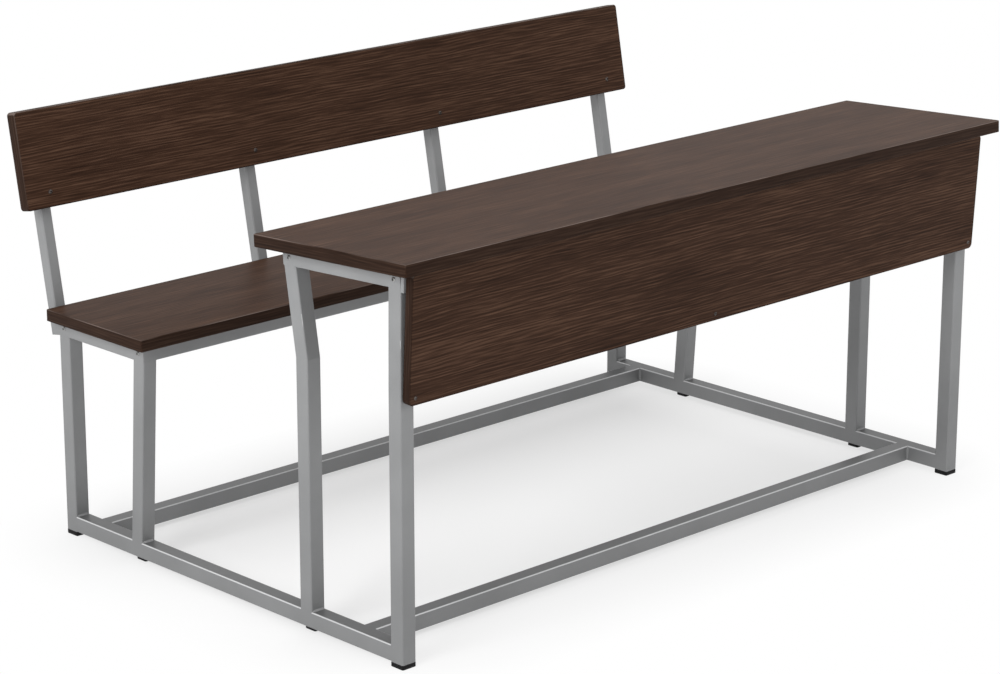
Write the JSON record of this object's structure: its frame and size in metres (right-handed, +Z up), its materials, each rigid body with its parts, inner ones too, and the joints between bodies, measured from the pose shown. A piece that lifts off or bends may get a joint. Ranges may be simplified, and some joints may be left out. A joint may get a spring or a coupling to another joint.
{
  "type": "school desk with bench",
  "caption": "Long school desk joined to its bench by square-tube end frames, with a sloping writing board, front panel, seat board and leaning back board.",
  "frame": {"origin": "on the floor, under the middle of the whole unit", "axes": "+X along the desk to the right of somebody who faces the front panel, +Y from the front panel back to the bench, +Z up"},
  "size_m": [1.65, 1.1437, 0.8468],
  "materials": {
    "frame_paint": "satin silver-grey powder coat",
    "board_laminate": "semi-gloss dark brown wood-grain laminate",
    "edge_band": "satin dark brown wood-grain edge band",
    "black_plastic": "matt moulded black plastic",
    "zinc_steel": "bright zinc-plated steel",
    "dark_steel": "dark brown lacquered steel"
  },
  "bodies": {
    "root": {"left_floor_rail": "frame_paint", "left_rear_leg": "frame_paint", "left_seat_leg": "frame_paint", "left_desk_rear_leg": "frame_paint", "left_desk_front_leg": "frame_paint", "left_seat_side_rail": "frame_paint", "left_desk_side_rail": "frame_paint", "right_floor_rail": "frame_paint", "right_rear_leg": "frame_paint", "right_seat_leg": "frame_paint", "right_desk_rear_leg": "frame_paint", "right_desk_front_leg": "frame_paint", "right_seat_side_rail": "frame_paint", "right_desk_side_rail": "frame_paint", "seat_front_rail": "frame_paint", "seat_rear_rail": "frame_paint", "desk_front_rail": "frame_paint", "desk_rear_rail": "frame_paint", "front_floor_stretcher": "frame_paint", "rear_floor_stretcher": "frame_paint", "panel_bar": "frame_paint", "panel_stay": "frame_paint", "left_end_back_post": "frame_paint", "left_inner_back_post": "frame_paint", "right_inner_back_post": "frame_paint", "right_end_back_post": "frame_paint", "desk_side_rail_plates": "frame_paint", "seat_side_rail_plates": "frame_paint", "desk_top": "board_laminate", "seat_board": "board_laminate", "modesty_panel": "board_laminate", "back_board": "board_laminate", "desk_top_edge_band": "edge_band", "seat_board_edge_band": "edge_band", "modesty_panel_edge_band": "edge_band", "back_board_edge_band": "edge_band", "left_front_foot": "black_plastic", "left_front_pad": "black_plastic", "left_rear_foot": "black_plastic", "left_rear_pad": "black_plastic", "right_front_foot": "black_plastic", "right_front_pad": "black_plastic", "right_rear_foot": "black_plastic", "right_rear_pad": "black_plastic", "back_post_caps": "black_plastic", "back_board_nuts": "zinc_steel", "panel_bar_screws": "zinc_steel", "desk_top_screws": "zinc_steel", "seat_screws": "zinc_steel", "desk_rail_bolts": "zinc_steel", "desk_rail_plugs": "zinc_steel", "seat_rail_bolts": "zinc_steel", "seat_rail_plugs": "zinc_steel", "back_board_bolts": "dark_steel", "panel_screws": "dark_steel"}
  },
  "joints": []
}
